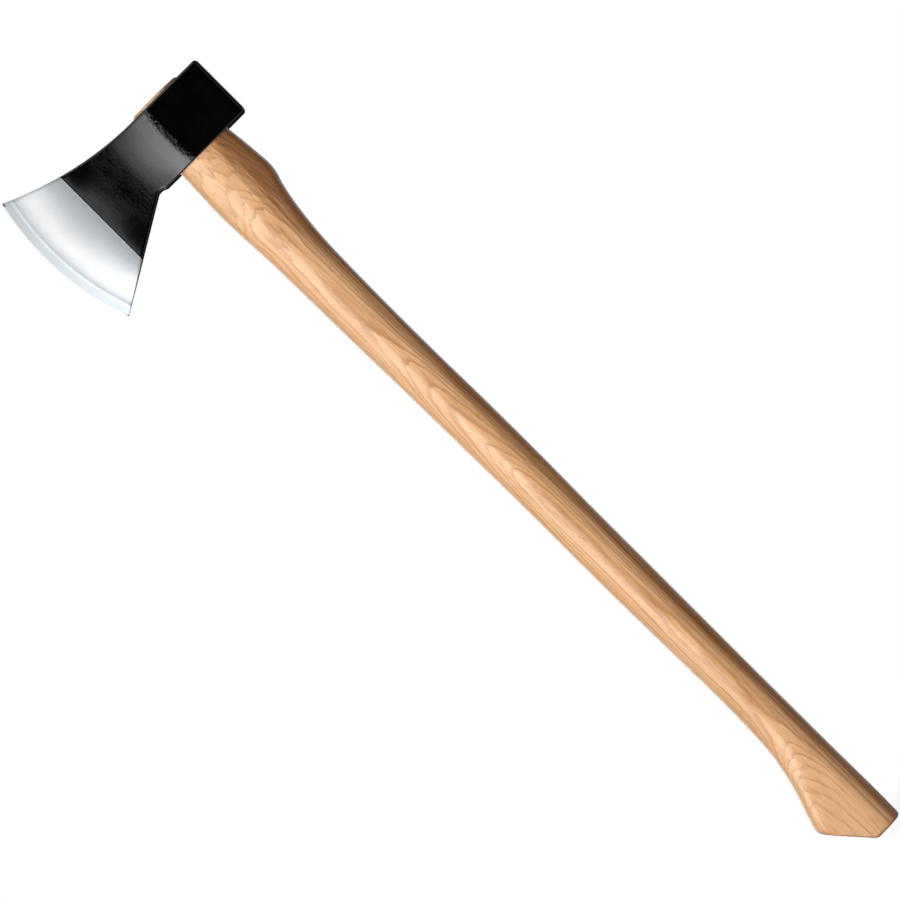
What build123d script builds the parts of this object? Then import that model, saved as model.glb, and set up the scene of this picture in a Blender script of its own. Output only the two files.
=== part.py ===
"""Felling axe: a forged head hung on a curved wooden haft, locked by a wooden and a steel wedge.

Frame: Z is up along the haft, with the head at the top. The cutting edge faces -X and the poll +X.
The origin is on the middle of the eye, in the plane of the head's underside, and Y=0 is the plane
of symmetry. Millimetres.
"""
from build123d import *
from math import atan2, cos, radians, sin, sqrt
import os

os.makedirs("parts", exist_ok=True)

# ---- Head: side view ----
head_length = 164.8         # poll face to the fullest point of the edge
poll_reach = 39.2           # middle of the eye to the poll face
head_height = 47.5          # underside to top, at the eye and the poll
edge_radius = 197.0         # sweep of the cutting edge, seen from the side
belly_height = 26.0         # fullest point of the edge, above the underside
toe_height = 71.0           # top corner of the edge, above the underside
heel_drop = 42.0            # bottom corner of the edge, below the underside
crown_start = 16.5          # middle of the eye to where the top line starts to rise
beard_start = 44.0          # middle of the eye to where the beard line starts to fall
lug_reach = 35.0            # middle of the eye to the front end of the flat underside
notch_rise = 1.4            # hollow between the underside and the beard line

# ---- Head: thicknesses ----
head_width = 30.0           # across the parallel sides of the eye and poll
crease_reach = 9.5          # middle of the eye to the crease where the cheeks start
crease_slope = 0.21         # how fast a cheek falls away just past the crease
waist_reach = 54.5          # middle of the eye to the end of the hollow in the cheeks
waist_width = 16.4
blade_slope = 0.085         # how fast a side falls away at the waist
bit_depth = 47.0            # ground bit, from the cutting edge inwards
bit_width = 12.0            # thickness where the ground bit starts
bit_slope = 0.07            # how fast the ground bit falls away where it starts
bit_end_slope = 0.135       # and where it meets the sharpened bevel
grind_slope = 0.12          # grinding line, from the ground bit inwards
bevel_depth = 6.0           # sharpened bevel, from the cutting edge inwards
bevel_width = 3.4           # thickness where the sharpened bevel starts
edge_land = 0.2             # thickness left at the cutting edge
blade_margin = 0.8          # blade blank left outside the ground bit before grinding
poll_round = 3.0            # corners of the poll face
outline_round = 1.5         # long top and bottom edges of the head

# ---- Eye, and the tongue that fills it ----
eye_length = 44.0           # along X at the underside
eye_width = 20.0            # along Y at the underside
crown_taper = 4.0           # eye shorter along X at the top of the tongue
crown_flare = 1.5           # and wider along Y
crown_shift = 1.6           # middle of the eye at its top, towards the poll
eye_round = 1.2             # broken edges of the eye's two mouths
tongue_stand = 1.9          # tongue and wedges proud of the head
tongue_round = 1.3
end_fullness = 0.76         # end radius of every oval, as a share of its half width

# ---- Wedges ----
kerf_floor = 12.0           # bottom of the kerf, above the underside
kerf_foot_width = 1.6
kerf_mouth_width = 6.4
steel_wedge_turn = 45.0     # degrees from the wooden wedge
steel_wedge_margin = 4.0    # from each end of the steel wedge to the side of the eye
steel_wedge_depth = 22.0
steel_wedge_mouth = 3.0
steel_wedge_foot = 0.6

# ---- Haft ----
haft_drop = 641.3           # underside of the head to the end of the haft
neck_drop = 105.0           # underside of the head to the start of the grip
knob_rise = 141.3           # end of the haft to the end of the grip
end_cut_x = -6.4            # slanted cut: where it leaves the flat end
end_cut_rise = 28.0         # slanted cut: its height
end_cut_run = 25.0          # slanted cut: its length along X
end_round = 3.0
# Shoulder: depth below the head, then how much it swells past the eye at its front, back and width.
shoulder_stations = [
    (12.0, 0.6, 1.4, 1.4),
    (24.0, 1.2, 2.5, 2.8),
    (36.0, 1.6, 3.3, 4.0),
    (43.0, 1.6, 2.5, 4.2),
]
# Neck: depth below the head, front x, back x, width.
neck_stations = [
    (52.0, -23.4, 21.8, 23.9),
    (66.0, -22.8, 18.9, 23.3),
    (84.0, -21.8, 16.6, 22.6),
]
# Grip: evenly spaced from the neck to the knob; front x, back x, width.
grip_stations = [
    (-21.3, 15.1, 22.2),
    (-20.5, 14.3, 22.1),
    (-19.5, 14.5, 22.4),
    (-18.7, 15.3, 22.9),
    (-17.9, 15.5, 23.2),
    (-17.7, 15.1, 23.5),
    (-17.5, 15.1, 23.6),
    (-16.7, 15.1, 23.4),
    (-15.9, 15.1, 23.2),
]
# Knob: height above the end, front x, back x, width; the last one is trimmed off.
knob_stations = [
    (109.3, -16.3, 15.2, 23.8),
    (89.3, -17.6, 15.3, 25.0),
    (73.3, -20.6, 15.4, 26.4),
    (57.3, -24.9, 15.5, 27.8),
    (41.3, -30.4, 15.7, 29.0),
    (23.3, -35.0, 15.9, 29.6),
    (-8.7, -43.0, 15.4, 29.4),
]

# ---- Derived places ----
belly_x = poll_reach - head_length
edge_centre_x = belly_x + edge_radius
toe_x = edge_centre_x - sqrt(edge_radius**2 - (toe_height - belly_height)**2)
heel_x = edge_centre_x - sqrt(edge_radius**2 - (heel_drop + belly_height)**2)
bit_radius = edge_radius - bit_depth
bevel_radius = edge_radius - bevel_depth
clear_radius = edge_centre_x + waist_reach     # inside it, the grinding clears the cheeks
clear_width = bit_width + 2 * grind_slope * (bit_radius - clear_radius)
tongue_top = head_height + tongue_stand
crown_length = eye_length - crown_taper
crown_width = eye_width + crown_flare
steel_wedge_length = (crown_width - 2 * steel_wedge_margin) / sin(radians(steel_wedge_turn))
grip_step = (haft_drop - knob_rise - neck_drop) / (len(grip_stations) - 1)


def oval(front, back, width):
    """An oval of four tangent arcs, from front to back along X and width across Y."""
    half_length, half_width = (back - front) / 2, width / 2
    end_radius = end_fullness * half_width
    straight = half_length - end_radius
    side_radius = (straight**2 + half_width**2 - end_radius**2) / (2 * (half_width - end_radius))
    join_angle = atan2(side_radius - half_width, straight)
    join_x = straight + end_radius * cos(join_angle)
    join_y = end_radius * sin(join_angle)
    with BuildSketch() as section:
        with BuildLine():
            ThreePointArc((-join_x, join_y), (0, half_width), (join_x, join_y))
            ThreePointArc((join_x, join_y), (half_length, 0), (join_x, -join_y))
            ThreePointArc((join_x, -join_y), (0, -half_width), (-join_x, -join_y))
            ThreePointArc((-join_x, -join_y), (-half_length, 0), (-join_x, join_y))
        make_face()
    return Pos((front + back) / 2, 0) * section.sketch


eye_mouth = oval(-eye_length / 2, eye_length / 2, eye_width)
eye_crown = oval(crown_shift - crown_length / 2, crown_shift + crown_length / 2, crown_width)

# Every section of the haft below the eye: its height and its oval.
haft_sections = []
for depth, front_swell, back_swell, width_swell in shoulder_stations:
    front, back = -eye_length / 2 - front_swell, eye_length / 2 + back_swell
    haft_sections.append((-depth, oval(front, back, eye_width + width_swell)))
for depth, front, back, width in neck_stations:
    haft_sections.append((-depth, oval(front, back, width)))
for step, (front, back, width) in enumerate(grip_stations):
    haft_sections.append((-neck_drop - step * grip_step, oval(front, back, width)))
for rise, front, back, width in knob_stations:
    haft_sections.append((rise - haft_drop, oval(front, back, width)))

# ---- The tapered core that fills the eye: tongue and wedges together ----
with BuildPart() as eye_core:
    with BuildSketch(Plane.XY):
        add(eye_mouth)
    with BuildSketch(Plane.XY.offset(tongue_top)):
        add(eye_crown)
    loft()
    fillet(eye_core.edges().group_by(Axis.Z)[-1], radius=tongue_round)

# ---- Axe head ----
with BuildPart() as axe_head:
    # Side view, as thick as the parallel sides.
    with BuildSketch(Plane.XZ):
        with BuildLine():
            Line((-lug_reach, 0), (poll_reach, 0))
            Line((poll_reach, 0), (poll_reach, head_height))
            Line((poll_reach, head_height), (-crown_start, head_height))
            TangentArc((-crown_start, head_height), (toe_x, toe_height), tangent=(-1, 0))
            ThreePointArc((toe_x, toe_height), (belly_x, belly_height), (heel_x, -heel_drop))
            Line((heel_x, -heel_drop), (-beard_start, 0))
            ThreePointArc((-beard_start, 0), (-(beard_start + lug_reach) / 2, notch_rise), (-lug_reach, 0))
        make_face()
    extrude(amount=head_width / 2, both=True)

    # Plan view: parallel sides, hollow cheeks, then the straight sides of the blade blank.
    with BuildSketch(Plane.XY):
        with BuildLine():
            Line((poll_reach, 0), (poll_reach, head_width / 2))
            Line((poll_reach, head_width / 2), (-crease_reach, head_width / 2))
            Spline(
                (-crease_reach, head_width / 2),
                (-waist_reach, waist_width / 2),
                tangents=((-1, -crease_slope), (-1, -blade_slope)),
            )
            Line((-waist_reach, waist_width / 2), (belly_x, bevel_width / 2 + blade_margin))
            Line((belly_x, bevel_width / 2 + blade_margin), (belly_x, 0))
            mirror(about=Plane.XZ)
        make_face()
    extrude(amount=head_length, both=True, mode=Mode.INTERSECT)

    # Long edges of the outline, from the poll to the cutting edge, then the corners of the poll.
    long_edges = axe_head.edges().filter_by(Axis.Y, reverse=True).filter_by(Axis.Z, reverse=True)
    fillet(long_edges.filter_by(lambda edge: edge.center().X > heel_x), radius=outline_round)
    fillet(axe_head.faces().sort_by(Axis.X)[-1].edges(), radius=poll_round)

    # Eye, with its two mouths broken.
    add(eye_core.part, mode=Mode.SUBTRACT)
    eye_edges = axe_head.edges(Select.LAST)
    fillet(eye_edges.filter_by(lambda edge: abs((edge @ 1 - edge @ 0).Z) < eye_round), radius=eye_round)

    # Grinding: a lens turned about the middle of the edge's sweep, so the bevel follows the edge.
    with BuildSketch(Plane((edge_centre_x, 0, belly_height))):
        with BuildLine():
            Line((0, 0), (0, head_width))
            Line((0, head_width), (head_width - clear_radius, head_width))
            Line((head_width - clear_radius, head_width), (-clear_radius, clear_width / 2))
            Line((-clear_radius, clear_width / 2), (-bit_radius, bit_width / 2))
            Spline(
                (-bit_radius, bit_width / 2),
                (-bevel_radius, bevel_width / 2),
                tangents=((-1, -bit_slope), (-1, -bit_end_slope)),
            )
            Line((-bevel_radius, bevel_width / 2), (-edge_radius, edge_land / 2))
            Line((-edge_radius, edge_land / 2), (-edge_radius, 0))
            mirror(about=Plane.XZ)
        make_face()
    edge_axis = Axis((edge_centre_x, 0, belly_height), (0, 1, 0))
    revolve(axis=edge_axis, revolution_arc=360, mode=Mode.INTERSECT)

# ---- Wedges ----
with BuildPart() as wedge_blade:
    with BuildSketch(Plane.YZ):
        with BuildLine():
            Polyline(
                (-kerf_foot_width / 2, kerf_floor),
                (kerf_foot_width / 2, kerf_floor),
                (kerf_mouth_width / 2, tongue_top),
                (-kerf_mouth_width / 2, tongue_top),
                close=True,
            )
        make_face()
    extrude(amount=eye_length, both=True)

with BuildPart() as steel_wedge:
    with BuildSketch(Plane.XY.offset(tongue_top)):
        Rectangle(steel_wedge_length, steel_wedge_mouth, rotation=steel_wedge_turn)
    with BuildSketch(Plane.XY.offset(tongue_top - steel_wedge_depth)):
        Rectangle(steel_wedge_length, steel_wedge_foot, rotation=steel_wedge_turn)
    loft()

with BuildPart() as wooden_wedge:
    add(eye_core.part)
    add(wedge_blade.part, mode=Mode.INTERSECT)
    add(steel_wedge.part, mode=Mode.SUBTRACT)

# ---- Haft: the tongue above the underside, and the curved handle below it ----
with BuildPart() as haft:
    with BuildSketch(Plane.XY):
        add(eye_mouth)
    for height, section in haft_sections:
        with BuildSketch(Plane.XY.offset(height)):
            add(section)
    loft()

    # Flat end, and the slanted cut below the knob's nose.
    with BuildSketch(Plane.XZ):
        with BuildLine():
            Polyline(
                (poll_reach, -haft_drop),
                (end_cut_x, -haft_drop),
                (end_cut_x - 3 * end_cut_run, -haft_drop + 3 * end_cut_rise),
                (end_cut_x - 3 * end_cut_run, -haft_drop - end_cut_rise),
                (poll_reach, -haft_drop - end_cut_rise),
                close=True,
            )
        make_face()
    extrude(amount=head_width, both=True, mode=Mode.SUBTRACT)
    fillet(haft.faces().filter_by(GeomType.PLANE).sort_by(Axis.Z)[:2].edges(), radius=end_round)

    add(eye_core.part)
    add(wedge_blade.part, mode=Mode.SUBTRACT)
    add(steel_wedge.part, mode=Mode.SUBTRACT)

# ---- One file per piece ----
axe_head.part.label = "axe_head"
export_step(axe_head.part, "parts/axe_head.step")
haft.part.label = "haft"
export_step(haft.part, "parts/haft.step")
wooden_wedge.part.label = "wooden_wedge"
export_step(wooden_wedge.part, "parts/wooden_wedge.step")
steel_wedge.part.label = "steel_wedge"
export_step(steel_wedge.part, "parts/steel_wedge.step")
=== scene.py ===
"""Felling axe: the forged head, the hickory haft and its two wedges, under soft studio light.

Z is up along the haft, the cutting edge faces -X, the poll +X, and Y=0 is the plane of symmetry.
Shapes are worked out in millimetres and brought to metres when a piece is finished.
"""
from math import atan2, copysign, cos, pi, radians, sin, sqrt

import bmesh
import bpy
from mathutils import Matrix, Vector


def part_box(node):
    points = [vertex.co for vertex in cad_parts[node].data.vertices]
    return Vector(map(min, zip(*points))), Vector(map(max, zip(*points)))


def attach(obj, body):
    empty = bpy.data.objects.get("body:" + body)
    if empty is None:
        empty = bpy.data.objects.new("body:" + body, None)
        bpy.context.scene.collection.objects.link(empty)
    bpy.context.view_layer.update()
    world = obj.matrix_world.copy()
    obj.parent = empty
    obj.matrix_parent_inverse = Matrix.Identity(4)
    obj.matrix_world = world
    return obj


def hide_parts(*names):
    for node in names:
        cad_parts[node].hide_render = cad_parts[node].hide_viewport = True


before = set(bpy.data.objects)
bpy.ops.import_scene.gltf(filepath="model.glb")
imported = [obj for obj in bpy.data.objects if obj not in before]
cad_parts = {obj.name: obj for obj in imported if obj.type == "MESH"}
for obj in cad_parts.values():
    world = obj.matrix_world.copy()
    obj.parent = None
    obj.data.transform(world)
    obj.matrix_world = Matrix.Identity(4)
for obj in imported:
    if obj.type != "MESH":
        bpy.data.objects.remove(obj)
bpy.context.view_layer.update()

MM = 0.001
SEAM = 0.001                # closer than this, in millimetres, two points are one
SHARP_ANGLE = 35            # degrees between two faces from which their edge stays sharp
ROUND_STEPS = 6             # faces across a rounded corner

# ---- Places that the frame gives, in millimetres ----
head_low, head_high = (Vector(corner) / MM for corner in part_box("axe_head"))
haft_low, haft_high = (Vector(corner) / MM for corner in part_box("haft"))
belly_x = head_low.x        # fullest point of the cutting edge
poll_x = head_high.x
heel_z = head_low.z
toe_z = head_high.z
side_y = head_high.y        # parallel sides of the eye and poll
haft_end_z = haft_low.z
tongue_top = haft_high.z

# ---- Head ----
EDGE_RADIUS = 197.0
BELLY_Z = 26.0
CROWN_Z = 47.5              # top of the head, over the eye and poll
CROWN_START = -16.5         # the top line rises from here to the toe
BEARD_START = -44.0         # the beard line falls from here to the heel
LUG_FRONT = -35.0           # front end of the flat underside
NOTCH_RISE = 1.5
NOTCH_SLOPE = 0.5
CREASE_X = -8.8
CREASE_BOW = 2.2            # how much nearer the bit it lies half way up
CREASE_SLOPE = 0.21
CREASE_SOFTNESS = 4.0       # half the width of the rounded crease
WAIST_X = -53.5
WAIST_HALF = 9.0
WAIST_SLOPE = 0.068
WAIST_BOW = 11.0            # how much further out the waist lies near the top line
WAIST_BOW_Z = 20.0
WAIST_BOW_REACH = 30.0
CROWN_DRAFT = 0.7           # how much thinner the cheeks get towards the top and bottom lines
DRAFT_REAR, DRAFT_FRONT = 12.0, 20.0    # it sets in over these lengths from the crease and the paint's border
PAINT_X = -80.4             # straight border between paint and ground steel
PAINT_HALF = 6.6            # half thickness there, and how fast the two sides fall away
PAINT_SLOPE = 0.103
# Ground bit, from the border to the bevel: depth, half thickness and how fast it falls away.
BIT_PROFILE = [(0.0, 6.6, 0.060), (26.6, 3.65, 0.162), (39.2, 1.85, 0.072)]
GROUND_ROUND = 0.4          # the ground bit has crisper edges than the paint
GROUND_ROUND_START, GROUND_ROUND_REACH = 3.0, 4.0   # from here behind the border, over this length
BEVEL_DEPTH = 6.0
POLL_ROUND = 3.0
OUTLINE_ROUND = 1.5
THIN_ROUND = 0.75           # most that the round takes of a thin edge's half thickness
edge_centre_x = belly_x + EDGE_RADIUS
heel_x = edge_centre_x - sqrt(EDGE_RADIUS**2 - (heel_z - BELLY_Z)**2)
toe_x = edge_centre_x - sqrt(EDGE_RADIUS**2 - (toe_z - BELLY_Z)**2)
beard_slope = heel_z / (heel_x - BEARD_START)
crown_radius = ((CROWN_START - toe_x)**2 + (toe_z - CROWN_Z)**2) / (2 * (toe_z - CROWN_Z))

# ---- Eye and tongue ----
EYE_FRONT, EYE_BACK, EYE_WIDTH = -22.0, 22.0, 20.0
CROWN_FRONT, CROWN_BACK, CROWN_WIDTH = -18.4, 21.6, 21.5
EYE_ROUND = 1.2
TONGUE_ROUND = 1.3
KERF_FLOOR, KERF_FOOT, KERF_MOUTH = 12.0, 1.6, 6.4
STEEL_TURN = 45.0
STEEL_LENGTH, STEEL_DEPTH, STEEL_MOUTH, STEEL_FOOT = 19.1, 22.0, 3.0, 0.6
CUT_MARGIN = 2.0            # how far a cutter stands out of what it cuts
KERF_REACH = 60.0           # the kerf's cutter is longer than the tongue
END_FULLNESS = 0.76         # end radius of every oval, as a share of its half width

# ---- Haft: height, front x, back x, width ----
HAFT_STATIONS = [
    (0.0, -22.0, 22.0, 20.0),
    (-12.0, -22.6, 23.4, 21.4),
    (-24.0, -23.2, 24.5, 22.8),
    (-36.0, -23.6, 25.3, 24.0),
    (-43.0, -23.6, 24.5, 24.2),
    (-52.0, -23.4, 21.8, 23.9),
    (-66.0, -22.8, 18.9, 23.3),
    (-84.0, -21.8, 16.6, 22.6),
    (-105.0, -21.3, 15.1, 22.2),
    (-154.4, -20.5, 14.3, 22.1),
    (-203.8, -19.5, 14.5, 22.4),
    (-253.1, -18.7, 15.3, 22.9),
    (-302.5, -17.9, 15.5, 23.2),
    (-351.9, -17.7, 15.1, 23.5),
    (-401.3, -17.5, 15.1, 23.6),
    (-450.6, -16.7, 15.1, 23.4),
    (-500.0, -15.9, 15.1, 23.2),
    (-532.0, -16.3, 15.2, 23.8),
    (-552.0, -17.6, 15.3, 25.0),
    (-568.0, -20.6, 15.4, 26.4),
    (-584.0, -24.9, 15.5, 27.8),
    (-600.0, -30.4, 15.7, 29.0),
    (-618.0, -35.0, 15.9, 29.6),
    (-650.0, -43.0, 15.4, 29.4),
]
NECK_END = -110.0
KNOB_TOP = -500.0
KNOB_FULL = -600.0          # the section has its whole squareness from here down
KNOB_FRONT_REACH = 14.0     # only the front of it turns square, over this length
END_CUT_X = -6.4            # the slanted cut leaves the flat end here
END_CUT_SLOPE = 28 / 25
END_ROUND = 3.0
FACET_APEX = -540.0         # top of the flat on each side of the knob
FACET_HALF = 12.3           # half width over the flats at their top
FACET_SLOPE = 0.013
FACET_BLEND = 1.6
KNOB_SQUARENESS = 3.4       # exponent of the knob's section, where 2 is an ellipse


def ease(share):
    """A smooth step from 0 to 1."""
    share = min(max(share, 0.0), 1.0)
    return share * share * (3 - 2 * share)


def blend(start, end, share):
    return start + (end - start) * share


def hermite(share, start, start_slope, end, end_slope, length):
    """A curve from start to end over a length, with the slope given at both ends."""
    square, cube = share**2, share**3
    return (
        (2 * cube - 3 * square + 1) * start + (cube - 2 * square + share) * start_slope * length
        + (3 * square - 2 * cube) * end + (cube - square) * end_slope * length
    )


def soft_min(first, second, softness):
    overlap = max(softness - abs(first - second), 0.0) / softness
    return min(first, second) - overlap**2 * softness / 4


def spread(start, end, count):
    """Evenly spaced places from start up to, but without, end."""
    return [start + (end - start) * step / count for step in range(count)]


def quarter_round(radius, first, last):
    """Steps of a rounded corner: how far each has moved across, and how far it still has to go."""
    turns = [step / ROUND_STEPS * pi / 2 for step in range(first, last)]
    return [(radius * (1 - cos(turn)), radius * (1 - sin(turn))) for turn in turns]


# ---- Shaping helpers ----
def loft(around, stations, place):
    """A tube of rings: place(station, step) is the point at each step round each station's ring."""
    bm = bmesh.new()
    last = len(stations) - 1
    bmesh.ops.create_grid(bm, x_segments=around, y_segments=last, size=1.0)
    for vert in bm.verts:
        step = round((vert.co.x + 1) / 2 * around)
        ring = round((vert.co.y + 1) / 2 * last)
        vert.co = place(stations[ring], step % around)
    bmesh.ops.remove_doubles(bm, verts=bm.verts, dist=SEAM)
    return bm


def close_ends(bm):
    open_edges = [edge for edge in bm.edges if edge.is_boundary]
    bmesh.ops.holes_fill(bm, edges=open_edges, sides=0)
    bmesh.ops.recalc_face_normals(bm, faces=bm.faces)


def make_piece(name, bm):
    """An object at the origin, in metres, from a shape in millimetres."""
    bmesh.ops.scale(bm, vec=(MM, MM, MM), verts=bm.verts)
    mesh = bpy.data.meshes.new(name)
    bm.to_mesh(mesh)
    bm.free()
    piece = bpy.data.objects.new(name, mesh)
    bpy.context.scene.collection.objects.link(piece)
    return piece


def cut(piece, cutter):
    """Takes the cutter's shape out of the piece."""
    tool = make_piece("cutter", cutter)
    modifier = piece.modifiers.new("cut", "BOOLEAN")
    modifier.operation = "DIFFERENCE"
    modifier.solver = "EXACT"
    modifier.object = tool
    depsgraph = bpy.context.evaluated_depsgraph_get()
    piece.data = bpy.data.meshes.new_from_object(piece.evaluated_get(depsgraph))
    piece.modifiers.clear()
    bpy.data.objects.remove(tool)
    bm = bmesh.new()
    bm.from_mesh(piece.data)
    bmesh.ops.dissolve_degenerate(bm, dist=SEAM * MM, edges=bm.edges)
    bm.to_mesh(piece.data)
    bm.free()


def smooth(piece):
    piece.data.shade_smooth()
    piece.data.set_sharp_from_angle(angle=radians(SHARP_ANGLE))


def oval_point(front, back, width, angle, grow=0.0):
    """A point on an oval of four tangent arcs, where its outward direction is the angle."""
    half_length, half_width = (back - front) / 2, width / 2
    end_radius = END_FULLNESS * half_width
    straight = half_length - end_radius
    side_radius = (straight**2 + half_width**2 - end_radius**2) / (2 * (half_width - end_radius))
    join_angle = atan2(side_radius - half_width, straight)
    along_x, along_y = cos(angle), sin(angle)
    if abs(along_y) <= sin(join_angle):
        x = copysign(straight, along_x) + (end_radius + grow) * along_x
        y = (end_radius + grow) * along_y
    else:
        x = (side_radius + grow) * along_x
        y = (side_radius + grow) * along_y + (half_width - side_radius) * copysign(1, along_y)
    return (front + back) / 2 + x, y


def eye_point(z, angle, grow=0.0):
    share = z / tongue_top
    front = blend(EYE_FRONT, CROWN_FRONT, share)
    back = blend(EYE_BACK, CROWN_BACK, share)
    width = blend(EYE_WIDTH, CROWN_WIDTH, share)
    return oval_point(front, back, width, angle, grow)


# ---- Head ----
def top_line(x):
    if x >= CROWN_START:
        return CROWN_Z
    return CROWN_Z + crown_radius - sqrt(crown_radius**2 - (CROWN_START - x)**2)


def bottom_line(x):
    if x >= LUG_FRONT:
        return 0.0
    beard = (x - BEARD_START) * beard_slope
    return soft_min(beard, soft_min(NOTCH_RISE, (LUG_FRONT - x) * NOTCH_SLOPE, 0.6), 0.8)


def ground_half(column_x):
    """Half thickness left by the grinding, by column, so that the bevel follows the cutting edge."""
    depth = PAINT_X - column_x
    for start, end in zip(BIT_PROFILE, BIT_PROFILE[1:]):
        if depth <= end[0]:
            length = end[0] - start[0]
            return hermite((depth - start[0]) / length, start[1], -start[2], end[1], -end[2], length)
    bevel_start, bevel_half, _ = BIT_PROFILE[-1]
    return bevel_half * max(1 - (depth - bevel_start) / (PAINT_X - belly_x - bevel_start), 0.0)


def head_half(column_x, x, z):
    """Half thickness of the head at a point of its side view, and the column that it lies on."""
    if column_x < PAINT_X:
        return ground_half(column_x)
    bow = min(((z - WAIST_BOW_Z) / WAIST_BOW_REACH)**2, 1.0)
    waist_x = WAIST_X - WAIST_BOW * bow
    waist_half = WAIST_HALF + (waist_x - WAIST_X) * WAIST_SLOPE
    crease_x = CREASE_X - CREASE_BOW * max(1 - (2 * z / CROWN_Z - 1)**2, 0.0)
    past_crease = crease_x - x
    cheek = crease_x - waist_x
    if past_crease <= 0:
        half = side_y
    elif past_crease < cheek:
        half = hermite(past_crease / cheek, side_y, -CREASE_SLOPE, waist_half, -WAIST_SLOPE, cheek)
    else:
        blade = waist_x - PAINT_X
        share = (past_crease - cheek) / blade
        half = hermite(share, waist_half, -WAIST_SLOPE, PAINT_HALF, -PAINT_SLOPE, blade)
    if abs(past_crease) < CREASE_SOFTNESS:
        half -= CREASE_SLOPE * (CREASE_SOFTNESS - abs(past_crease))**2 / (4 * CREASE_SOFTNESS)
    draft = ease(past_crease / DRAFT_REAR) * ease((x - PAINT_X) / DRAFT_FRONT)
    return half - CROWN_DRAFT * bow * draft


FLAT_STEPS = 5              # across half of the top or the underside
CORNER_STEPS = 4
SIDE_STEPS = 22             # from a corner to the middle of a side
QUARTER = FLAT_STEPS + CORNER_STEPS + SIDE_STEPS
SETTLING_STEPS = 8          # enough to find where a column meets a sloping line
NOTCH_FINE = (-46.0, -34.0)     # columns stand closest over the notch
CREASE_FINE = (-13.0, -6.0)     # and across the crease
CAP_INSET = 1.0             # last ring of a flat end, in from the end of its round


def head_point(column, step):
    """A point of the head's section at a column: step 0 is the middle of the underside."""
    column_x, straightness, inset = column
    to_right = step <= 2 * QUARTER
    step = min(step, 4 * QUARTER - step)
    upper = step > QUARTER
    step = min(step, 2 * QUARTER - step)
    corner_share = min(max(step - FLAT_STEPS, 0) / CORNER_STEPS, 1.0)
    side_share = max(step - FLAT_STEPS - CORNER_STEPS, 0) / SIDE_STEPS

    def lie_on_column(z):
        sweep = edge_centre_x - column_x
        on_arc = edge_centre_x - sqrt(sweep**2 - (z - BELLY_Z)**2)
        return blend(on_arc, column_x, straightness)

    # The column's own end on the outline, found by a few steps because both lines slope.
    x, line = column_x, top_line if upper else bottom_line
    for _ in range(SETTLING_STEPS):
        end_z = line(x)
        x = lie_on_column(end_z)
    middle_z = blend(bottom_line(column_x), top_line(column_x), 0.5)
    inward = -1 if upper else 1
    half = max(head_half(column_x, x, end_z) - inset, 0.0)
    ground_share = ease((PAINT_X + GROUND_ROUND_START - column_x) / GROUND_ROUND_REACH)
    corner = min(blend(OUTLINE_ROUND, GROUND_ROUND, ground_share), THIN_ROUND * half)
    turn = corner_share * pi / 2
    z = end_z + inward * (inset + corner * (1 - cos(turn)))
    z = blend(z, middle_z, side_share)
    x = lie_on_column(z)
    half = max(head_half(column_x, x, z) - inset, 0.0)
    across = half - corner * (1 - sin(turn)) if step > FLAT_STEPS else (half - corner) * step / FLAT_STEPS
    return Vector((x, across if to_right else -across, z))


def head_columns():
    """Each column of the head: its x at the belly's height, how straight it stands, its inset."""
    bevel_x = belly_x + BEVEL_DEPTH
    # Where each stretch starts, and how many columns it has.
    stretches = [
        (belly_x, 5), (bevel_x, 26), (PAINT_X, 22), (NOTCH_FINE[0], 30), (NOTCH_FINE[1], 14),
        (CREASE_FINE[0], 12), (CREASE_FINE[1], 14), (poll_x - POLL_ROUND, 0),
    ]
    columns = []
    for (start, count), (end, _) in zip(stretches, stretches[1:]):
        for x in spread(start, end, count):
            columns.append((x, ease((x - bevel_x) / (PAINT_X - bevel_x)), 0.0))
    for inset, short in quarter_round(POLL_ROUND, 0, ROUND_STEPS + 1):
        columns.append((poll_x - short, 1.0, inset))
    columns.append((poll_x, 1.0, POLL_ROUND + CAP_INSET))
    return columns


EYE_AROUND = 96
EYE_RINGS = 10


def eye_cutter():
    """The eye's tapered oval, opening out over both mouths to break their edges."""
    stations = [(-CUT_MARGIN, EYE_ROUND)]
    stations += quarter_round(EYE_ROUND, 0, ROUND_STEPS)
    stations += [(height, 0.0) for height in spread(EYE_ROUND, CROWN_Z - EYE_ROUND, EYE_RINGS)]
    for grow, short in quarter_round(EYE_ROUND, 0, ROUND_STEPS + 1):
        stations.append((CROWN_Z - short, grow))
    stations.append((CROWN_Z + CUT_MARGIN, EYE_ROUND))

    def place(station, step):
        height, grow = station
        x, y = eye_point(height, step / EYE_AROUND * 2 * pi, grow)
        return Vector((x, y, height))

    bm = loft(EYE_AROUND, stations, place)
    close_ends(bm)
    return bm


def make_head():
    bm = loft(4 * QUARTER, head_columns(), head_point)
    close_ends(bm)
    head = make_piece("forged_axe_head", bm)
    cut(head, eye_cutter())
    smooth(head)
    return head


# ---- Haft ----
def haft_outline(z):
    """Front, back and width of the haft at a height, on smooth curves through its stations."""
    rows = HAFT_STATIONS
    index = max(number for number, row in enumerate(rows[:-1]) if row[0] >= z)
    before, start, end = rows[max(index - 1, 0)], rows[index], rows[index + 1]
    after = rows[min(index + 2, len(rows) - 1)]
    length = end[0] - start[0]
    values = []
    for column in (1, 2, 3):
        start_slope = (end[column] - before[column]) / (end[0] - before[0])
        end_slope = (after[column] - start[column]) / (after[0] - start[0])
        share = (z - start[0]) / length
        values.append(hermite(share, start[column], start_slope, end[column], end_slope, length))
    return values


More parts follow.
